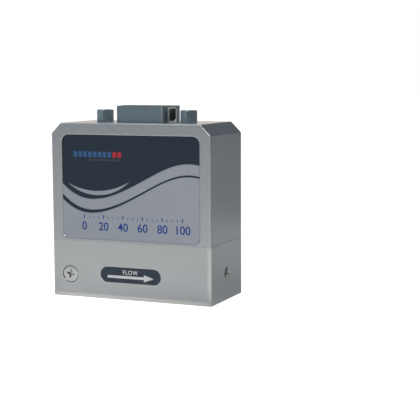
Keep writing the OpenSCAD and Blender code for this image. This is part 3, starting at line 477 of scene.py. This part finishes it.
# Flow sensor
# A small board carries the sensing chip over a drilled manifold plate, sealed by a gasket.
# Two screws clamp board, gasket and plate to the block's land.
board_look = plain_finish("board_laminate", (0.020, 0.085, 0.050), 0.34, coat=0.4, variation=0.12)
component_look = plain_finish("moulded_component", (0.022, 0.022, 0.024), 0.5)
capacitor_look = plain_finish("ceramic_capacitor", (0.30, 0.20, 0.12), 0.4)
dress("sensor_manifold", stainless_look)
dress("sensor_gasket", rubber_look)
dress("sensor_board", board_look)
dress("sensor_chip", component_look)
dress("sensor_header", gold_look)
dress("sensor_screws", screw_look)

# Control board
# The main board stands upright along the back wall on two brackets.
# The processor, the inductor and the capacitors are soldered on it.
dress("main_board", board_look)
dress("processor", component_look)
dress("board_parts", component_look)
dress("power_inductor", component_look)
dress("board_capacitors", capacitor_look)
dress("board_brackets", brass_look)
dress("bracket_screws", screw_look)
dress("clinch_nuts", screw_look)

# Front label
# A printed film let into the front, pale below and dark above a curved edge with a thin stripe.
# Film and curves come from the frame, and a plain scale and a row of level marks are printed on them.
INK = 0.03 * MM
PALE_FILM_Y = -10.65 * MM
DARK_PRINT_Y = -10.70 * MM
SCALE_X = (-13.6 * MM, 15.2 * MM)
SCALE_Z = 18.45 * MM
NUMERALS = 6
NUMERAL_STEP = 20
NUMERAL_H = 2.25 * MM
NUMERAL_WEIGHT = 0.03 * MM
TICKS = 21
TICK_Z = 21.55 * MM
LONG_TICK = (0.28 * MM, 0.95 * MM)
SHORT_TICK = (0.16 * MM, 0.55 * MM)
CAP_SHARE = 0.729


def lettering(name, words, x, z, cap_height, film, look, weight=0.0, stretch=1.0, spread=1.0):
    """Printed characters centred on x, on the film at y = film, read from the front where y is negative."""
    curve = bpy.data.curves.new(name, "FONT")
    curve.body = words
    curve.size = cap_height / CAP_SHARE
    curve.align_x = "CENTER"
    curve.offset = weight
    curve.space_character = spread
    curve.extrude = INK / 2
    shape = bpy.data.objects.new(name, curve)
    bpy.context.scene.collection.objects.link(shape)
    bpy.context.view_layer.update()
    mesh = bpy.data.meshes.new_from_object(shape)
    bpy.data.objects.remove(shape)
    side = 1 if film > 0 else -1
    stand = Matrix.Rotation(math.radians(90), 4, "X")
    if film > 0:
        stand = Matrix.Rotation(math.radians(180), 4, "Z") @ stand
    at = Matrix.Translation((x, film + side * INK / 2, z))
    mesh.transform(at @ stand @ Matrix.Diagonal((stretch, 1, 1, 1)))
    bm = bmesh.new()
    bm.from_mesh(mesh)
    bpy.data.meshes.remove(mesh)
    bmesh.ops.remove_doubles(bm, verts=bm.verts[:], dist=WELD)
    obj = piece(name, bm, look, smooth=20)
    return obj


def ink_bars(name, bars, film, look):
    """Printed rectangles on the film, each given by its middle, its width and its height."""
    side = 1 if film > 0 else -1
    bm = bmesh.new()
    for x, z, wide, high in bars:
        at = Matrix.Translation((x, film + side * INK / 2, z))
        bmesh.ops.create_cube(bm, size=1, matrix=at @ Matrix.Diagonal((wide, INK, high, 1)))
    obj = piece(name, bm, look, smooth=20)
    return obj


label_paper = plain_finish("pale_label_film", (0.385, 0.412, 0.468), 0.42, grain=0.05)
label_dark = plain_finish("dark_label_ink", (0.010, 0.024, 0.044), 0.36, grain=0.05)
scale_ink = plain_finish("blue_scale_ink", (0.008, 0.055, 0.30), 0.42, grain=0.05)
level_ink = plain_finish("blue_level_ink", (0.035, 0.12, 0.30), 0.42, grain=0.05)
red_ink = plain_finish("red_level_ink", (0.55, 0.02, 0.025), 0.42, grain=0.05)
grey_ink = plain_finish("grey_level_ink", (0.18, 0.21, 0.25), 0.42, grain=0.05)
dress("front_label", label_paper)
dress("front_label_print", label_dark)

span = SCALE_X[1] - SCALE_X[0]
for k in range(NUMERALS):
    number = NUMERAL_STEP * k
    lettering(f"scale_numeral_{number}", str(number), SCALE_X[0] + span * k / (NUMERALS - 1), SCALE_Z,
              NUMERAL_H, PALE_FILM_Y, scale_ink, weight=NUMERAL_WEIGHT)
ticks = []
for k in range(TICKS):
    wide, tall = LONG_TICK if k % 4 == 0 else SHORT_TICK
    ticks.append((SCALE_X[0] + span * k / (TICKS - 1), TICK_Z + tall / 2, wide, tall))
ink_bars("scale_ticks", ticks, PALE_FILM_Y, scale_ink)

LEVEL_X = -16.0 * MM
LEVEL_Z = 38.7 * MM
LEVEL_PITCH = 1.46 * MM
LEVEL_MARKS = 10
LEVEL_NORMAL = 8
LEVEL_MARK = (1.05 * MM, 1.5 * MM)
DIVISION_Z = LEVEL_Z - 1.45 * MM
DIVISION_MARK = (0.14 * MM, 0.45 * MM)
DIVISION_SPAN = (6, 19)
marks = [(LEVEL_X + LEVEL_PITCH * k, LEVEL_Z, *LEVEL_MARK) for k in range(LEVEL_MARKS)]
ink_bars("level_marks_normal", marks[:LEVEL_NORMAL], DARK_PRINT_Y, level_ink)
ink_bars("level_marks_high", marks[LEVEL_NORMAL:], DARK_PRINT_Y, red_ink)
fine = [(LEVEL_X + LEVEL_PITCH * k / 2, DIVISION_Z, *DIVISION_MARK) for k in range(*DIVISION_SPAN)]
ink_bars("level_divisions", fine, DARK_PRINT_Y, grey_ink)

# Back label
# A dark glossy film let into the back, printed in grey with the connector's pin layout.
# Rows of plain bars, each with a square mark, stand beside the layout, and two short ones below it.
BACK_FILM_Y = 10.65 * MM
back_film = plain_finish("dark_back_film", (0.0045, 0.008, 0.017), 0.10, coat=0.5, variation=0.1, grain=0.02)
back_ink = plain_finish("grey_back_ink", (0.16, 0.17, 0.185), 0.4, grain=0.05)
dress("back_label", back_film)

PLUG_X = -11.3 * MM
PLUG_Z = 38.2 * MM
PLUG_W = 10.8 * MM
PLUG_H = 6.4 * MM
PLUG_LEAN = 1.45 * MM
PLUG_ROUND = 0.9 * MM
LINE = 0.17 * MM
ARC_STEPS = 6


def plug_outline(grow):
    """The D of the pin layout as seen from behind, its long side up, grown by a margin."""
    wide, narrow, half = PLUG_W / 2 + grow, PLUG_W / 2 - PLUG_LEAN + grow, PLUG_H / 2 + grow
    return [(-narrow, -half), (narrow, -half), (wide, half), (-wide, half)]


def rounded_loop(bm, corners, radius, y):
    """A closed loop round the corners, each turned by a short arc, at the depth y."""
    loop = []
    for k, corner in enumerate(corners):
        here = Vector(corner)
        before = (Vector(corners[k - 1]) - here).normalized()
        after = (Vector(corners[(k + 1) % len(corners)]) - here).normalized()
        half = before.angle(after) / 2
        middle = here + (before + after).normalized() * radius / math.sin(half)
        start = here + before * radius / math.tan(half) - middle
        sweep = -(math.pi - 2 * half) if start.cross(here - middle) < 0 else math.pi - 2 * half
        for i in range(ARC_STEPS + 1):
            turn = sweep * i / ARC_STEPS
            p = Vector((start.x * math.cos(turn) - start.y * math.sin(turn),
                        start.x * math.sin(turn) + start.y * math.cos(turn))) + middle
            loop.append(bm.verts.new((PLUG_X + p.x, y, PLUG_Z + p.y)))
    return [bm.edges.new((loop[i - 1], loop[i])) for i in range(len(loop))]


bm = bmesh.new()
outer = rounded_loop(bm, plug_outline(LINE), PLUG_ROUND, BACK_FILM_Y)
inner = rounded_loop(bm, plug_outline(-LINE), PLUG_ROUND - 2 * LINE, BACK_FILM_Y)
ring = bmesh.ops.bridge_loops(bm, edges=outer + inner)["faces"]
top = bmesh.ops.extrude_face_region(bm, geom=ring)["geom"]
bmesh.ops.translate(bm, vec=(0, INK, 0), verts=[v for v in top if isinstance(v, bmesh.types.BMVert)])
outline = piece("pin_layout_outline", bm, back_ink, smooth=40)

# Each row of pins: how many, its height over the layout's middle, its first number, and how far above
# the dots the numbers' feet stand.
PIN_ROWS = ((5, 1.05 * MM, 1, 0.5 * MM), (4, -0.35 * MM, 6, -1.4 * MM))
PIN_PITCH = 1.62 * MM
PIN_DOT_R = 0.2 * MM
PIN_NUMERAL_H = 0.95 * MM
bm = bmesh.new()
for count, rise, first, off in PIN_ROWS:
    for k in range(count):
        x = PLUG_X + ((count - 1) / 2 - k) * PIN_PITCH
        z = PLUG_Z + rise
        spot = Matrix.Translation((x, BACK_FILM_Y + INK / 2, z)) @ Matrix.Rotation(math.pi / 2, 4, "X")
        bmesh.ops.create_cone(bm, cap_ends=True, segments=16, radius1=PIN_DOT_R, radius2=PIN_DOT_R,
                              depth=INK, matrix=spot)
        lettering(f"pin_numeral_{first + k}", str(first + k), x, z + off, PIN_NUMERAL_H, BACK_FILM_Y,
                  back_ink)
dots = piece("pin_layout_dots", bm, back_ink, smooth=40)

ROW_TOP = 39.6 * MM
ROW_PITCH = 2.75 * MM
ROW_START = 15.2 * MM
ROW_H = 0.55 * MM
# The rows' widths in millimetres.
ROW_WIDTHS = (9.4, 12.0, 7.6, 11.0, 8.2, 14.6, 13.2, 6.4, 9.0)
ROW_SPOT_X = 17.0 * MM
ROW_SPOT = 0.9 * MM
CAPTION_H = 0.6 * MM
CAPTIONS = ((32.6 * MM, 9.0 * MM), (30.4 * MM, 5.4 * MM))
rows = []
for k, wide in enumerate(ROW_WIDTHS):
    z = ROW_TOP - ROW_PITCH * k
    rows.append((ROW_SPOT_X, z, ROW_SPOT, ROW_SPOT))
    rows.append((ROW_START - wide * MM / 2, z, wide * MM, ROW_H))
ink_bars("pin_list_rows", rows, BACK_FILM_Y, back_ink)
captions = [(PLUG_X, z, wide, CAPTION_H) for z, wide in CAPTIONS]
ink_bars("plug_caption_rows", captions, BACK_FILM_Y, back_ink)

# Flow badge
# A small dark film plate on the front of the block.
# Its printed arrow points the way the gas flows, and the word above it is in the same pale ink.
WORD_X = -0.12 * MM
WORD_Z = 6.86 * MM
WORD_H = 1.22 * MM
badge_look = plain_finish("badge_film", (0.030, 0.047, 0.068), 0.38, grain=0.05)
arrow_look = plain_finish("pale_arrow_ink", (0.80, 0.81, 0.82), 0.45, grain=0.03)
dress("flow_badge", badge_look)
dress("flow_arrow", arrow_look)
badge_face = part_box("flow_badge")[0].y
lettering("flow_word", "FLOW", WORD_X, WORD_Z, WORD_H, badge_face, arrow_look,
          weight=0.02 * MM, stretch=0.88, spread=1.14)

# Front screw
# A machine screw with a low domed head and a cross recess, zinc plated, sunk in a counterbore in the block.
# Its thread holds in a blind hole.
SCREW_X = -18.1 * MM
SCREW_Z = 6.15 * MM
HEAD_SEAT_Y = -9.35 * MM
HEAD_R = 2.2 * MM
HEAD_EDGE = 1.26 * MM
HEAD_CROWN = 1.38 * MM
DOME_STEPS = 15
SHANK_R = 1.24 * MM
SHANK_ROOT = 1.08 * MM
SHANK_END = -4.6 * MM
SCREW_PITCH = 0.5 * MM
SCREW_THREAD_START = 0.5 * MM
SCREW_THREAD_DEPTH = 0.15 * MM
SCREW_THREADED = 3.6 * MM
SHANK_NECK = 0.4 * MM
SHANK_POINT = 0.4 * MM
RUN_OUT = 0.2 * MM
EDGE_BREAK = 0.06 * MM
CROSS_TURN = math.radians(-11)
WING = (2.5 * MM, 0.62 * MM, 1.5 * MM)
WING_SUNK = 0.35 * MM
WING_TAPER = (0.65, 0.75, 1)


def turned(profile, steps=72):
    """A bmesh turned about Z from (radius, height) points that start and end on the axis or meet."""
    bm = bmesh.new()
    points = [bm.verts.new((r, 0, h)) for r, h in profile]
    edges = [bm.edges.new(pair) for pair in zip(points, points[1:])]
    bmesh.ops.spin(bm, geom=points + edges, cent=(0, 0, 0), axis=(0, 0, 1), angle=2 * math.pi,
                   steps=steps, use_merge=True)
    bmesh.ops.remove_doubles(bm, verts=bm.verts[:], dist=WELD)
    bmesh.ops.recalc_face_normals(bm, faces=bm.faces[:])
    return bm


def machined(name, bm, cutters, look, keep_inside=()):
    """The bmesh cut back to what lies inside some shapes, with the cutters taken out of it."""
    blank = piece(name + "_blank", bm, look)
    for way, tools in (("INTERSECT", keep_inside), ("DIFFERENCE", cutters)):
        for tool in tools:
            mesh = bpy.data.meshes.new("tool")
            bmesh.ops.recalc_face_normals(tool, faces=tool.faces[:])
            tool.to_mesh(mesh)
            tool.free()
            held = bpy.data.objects.new("tool", mesh)
            bpy.context.scene.collection.objects.link(held)
            cut = blank.modifiers.new("cut", "BOOLEAN")
            cut.operation = way
            cut.solver = "EXACT"
            cut.object = held
            bpy.context.view_layer.update()
            evaluated = blank.evaluated_get(bpy.context.evaluated_depsgraph_get())
            after = bpy.data.meshes.new_from_object(evaluated)
            blank.modifiers.clear()
            before = blank.data
            blank.data = after
            bpy.data.meshes.remove(before)
            bpy.data.objects.remove(held)
    bm = bmesh.new()
    bm.from_mesh(blank.data)
    bpy.data.objects.remove(blank)
    bmesh.ops.remove_doubles(bm, verts=bm.verts[:], dist=WELD)
    return piece(name, bm, look)


dome = [(HEAD_R * math.sin(a), HEAD_EDGE + (HEAD_CROWN - HEAD_EDGE) * math.cos(a))
        for a in [math.radians(90 * k / DOME_STEPS) for k in range(DOME_STEPS + 1)]]
screw_profile = dome + [(HEAD_R, EDGE_BREAK), (HEAD_R - EDGE_BREAK, 0), (SHANK_R, 0), (SHANK_R, -SHANK_NECK),
                        (SHANK_ROOT, -SHANK_NECK - RUN_OUT), (SHANK_ROOT, SHANK_END + SHANK_POINT),
                        (SHANK_ROOT - SHANK_POINT, SHANK_END), (0, SHANK_END)]
screw_bm = turned(screw_profile)
stand = Matrix.Translation((SCREW_X, HEAD_SEAT_Y, SCREW_Z)) @ Matrix.Rotation(math.pi / 2, 4, "X")
cross = []
for turn in (0, math.pi / 2):
    wing = bmesh.new()
    middle = HEAD_CROWN - WING_SUNK
    wing_place = Matrix.Translation((0, 0, middle)) @ Matrix.Diagonal((*WING, 1))
    bmesh.ops.create_cube(wing, size=1, matrix=wing_place)
    low = [v for v in wing.verts if v.co.z < middle]
    bmesh.ops.scale(wing, vec=WING_TAPER, verts=low)
    bmesh.ops.transform(wing, matrix=stand @ Matrix.Rotation(CROSS_TURN + turn, 4, "Z"), verts=wing.verts[:])
    cross.append(wing)
bmesh.ops.transform(screw_bm, matrix=stand, verts=screw_bm.verts[:])
front_screw_look = plain_finish("zinc_plated_screw", (0.70, 0.70, 0.69), 0.24, metallic=1.0, grain=0.08)
front_screw = machined("cross_head_screw", screw_bm, cross, front_screw_look)
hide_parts("front_screw")
screw_thread = thread("screw_thread", (SCREW_X, HEAD_SEAT_Y + SCREW_THREAD_START, SCREW_Z), (0, 1, 0),
                      SHANK_ROOT, SCREW_THREAD_DEPTH, SCREW_PITCH, SCREW_THREADED, front_screw_look,
                      inward=False)

# Signal connector
# A nine-pin D connector: a drawn steel shell, tin plated, round a moulded insulator with gold pins.
# Its flange is clamped under the cover, and the shell comes up through the cover's D-shaped hole.
shell_look = plain_finish("tin_plated_shell", (0.30, 0.375, 0.415), 0.26, metallic=1.0, grain=0.06)
dress("connector_shell", shell_look)
dress("connector_rear_shell", yoke_look)
dress("connector_insulator", plain_finish("black_insulator", (0.016, 0.016, 0.017), 0.45))
dress("connector_pins", gold_look)

# Window rims
# A thin rim stands round the window in each end of the connector's shell, its pale colour a painted highlight
# along the window's edge.
# It stands for the shell's own steel, raised a few hundredths of a millimetre.
SHELL_HALF_W = 8.45 * MM
SHELL_DEPTH = 8.4 * MM
SHELL_SLOPE = math.radians(10)
WINDOW_W = 3.1 * MM
WINDOW_H = 3.3 * MM
WINDOW_Z = 49.05 * MM
RIM_W = 0.42 * MM
RIM_PROUD = 0.06 * MM
RIM_ROUND = 0.7 * MM
WINDOW_ROUND = 0.5 * MM
# Pale steel, much lighter than the shell: painted highlight on the window's edge.
highlight_rim_look = plain_finish("painted_highlight_rim", (0.80, 0.80, 0.79), 0.3, metallic=1.0, grain=0.08)


def rounded_block(wide, deep, high, radius):
    """A block whose four edges along X are rounded."""
    bm = bmesh.new()
    bmesh.ops.create_cube(bm, size=1, matrix=Matrix.Diagonal((wide, deep, high, 1)))
    along = [e for e in bm.edges if abs(e.verts[0].co.x - e.verts[1].co.x) > wide / 2]
    bmesh.ops.bevel(bm, geom=along, offset=radius, offset_type="OFFSET", segments=6, profile=0.5,
                    affect="EDGES", material=-1)
    return bm


for side, where in ((-1, "left"), (1, "right")):
    rim = rounded_block(2 * RIM_PROUD, WINDOW_W + 2 * RIM_W, WINDOW_H + 2 * RIM_W, RIM_ROUND)
    hole = rounded_block(6 * RIM_PROUD, WINDOW_W, WINDOW_H, WINDOW_ROUND)
    shell_end = side * (SHELL_HALF_W - SHELL_DEPTH * math.tan(SHELL_SLOPE) / 2)
    end = Matrix.Translation((shell_end, 0, WINDOW_Z)) @ Matrix.Rotation(-side * SHELL_SLOPE, 4, "Z")
    for bm in (rim, hole):
        bmesh.ops.transform(bm, matrix=end, verts=bm.verts[:])
    machined(f"window_rim_{where}", rim, [hole], highlight_rim_look)

# Jackscrews
# Two hexagon standoffs turned from bar, nickel plated, that clamp the cover and the connector.
# Their ends are chamfered, and they are tapped for the plug's screws.
JACK_X = 12.495 * MM
JACK_FOOT = 47.0 * MM
JACK_H = 3.3 * MM
JACK_AF = 4.05 * MM
# The flats are turned by 41 degrees, and a corner lies 30 degrees further on.
JACK_TURN = math.radians(41 + 30)
JACK_CHAMFER = 0.42 * MM
JACK_BORE = 1.13 * MM
JACK_BORE_DEPTH = 2.8 * MM
COUNTERSINK = 0.25 * MM
DRILL_POINT = 0.5 * MM
JACK_SHANK = 1.4 * MM
SHANK_TOP = 0.05 * MM
SHANK_CHAMFER = 0.3 * MM
TAP_START = 0.7 * MM
TAP_DEPTH = 0.16 * MM
TAP_PITCH = 0.64 * MM
TAP_LENGTH = 2.2 * MM
JACK_STEPS = 48
SHANK_STEPS = 40
CORNER_R = JACK_AF / 2 / math.cos(math.pi / 6)
CLEAR_R = CORNER_R + 0.4 * MM
jack_look = plain_finish("nickel_plated_hex", (0.40, 0.51, 0.56), 0.24, metallic=1.0, grain=0.08)
jack_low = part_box("jackscrews")[0].z - JACK_FOOT
for side, where in ((-1, "left"), (1, "right")):
    at = Matrix.Translation((side * JACK_X, 0, JACK_FOOT))
    middle = Matrix.Translation((0, 0, JACK_H / 2)) @ Matrix.Rotation(JACK_TURN, 4, "Z")
    hexagon = bmesh.new()
    bmesh.ops.create_cone(hexagon, cap_ends=True, segments=6, radius1=CORNER_R, radius2=CORNER_R,
                          depth=JACK_H, matrix=middle)
    chamfer = turned([(0, JACK_H), (CORNER_R - JACK_CHAMFER, JACK_H), (CLEAR_R, JACK_H - JACK_CHAMFER),
                      (CLEAR_R, -MM), (0, -MM)], JACK_STEPS)
    bore = turned([(0, JACK_H + MM), (JACK_BORE + MM + COUNTERSINK, JACK_H + MM),
                   (JACK_BORE, JACK_H - COUNTERSINK), (JACK_BORE, JACK_H - JACK_BORE_DEPTH),
                   (0, JACK_H - JACK_BORE_DEPTH - DRILL_POINT)], JACK_STEPS)
    for bm in (hexagon, chamfer, bore):
        bmesh.ops.transform(bm, matrix=at, verts=bm.verts[:])
    post = machined(f"jackscrew_{where}", hexagon, [bore], jack_look, keep_inside=[chamfer])
    shank = turned([(0, SHANK_TOP), (JACK_SHANK, SHANK_TOP), (JACK_SHANK, jack_low + SHANK_CHAMFER),
                    (JACK_SHANK - SHANK_CHAMFER, jack_low), (0, jack_low)], SHANK_STEPS)
    bmesh.ops.transform(shank, matrix=at, verts=shank.verts[:])
    piece(f"jackscrew_shank_{where}", shank, jack_look)
    tapped = thread(f"jackscrew_thread_{where}", (side * JACK_X, 0, JACK_FOOT + TAP_START), (0, 0, 1),
                    JACK_BORE, TAP_DEPTH, TAP_PITCH, TAP_LENGTH, jack_look)
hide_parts("jackscrews")
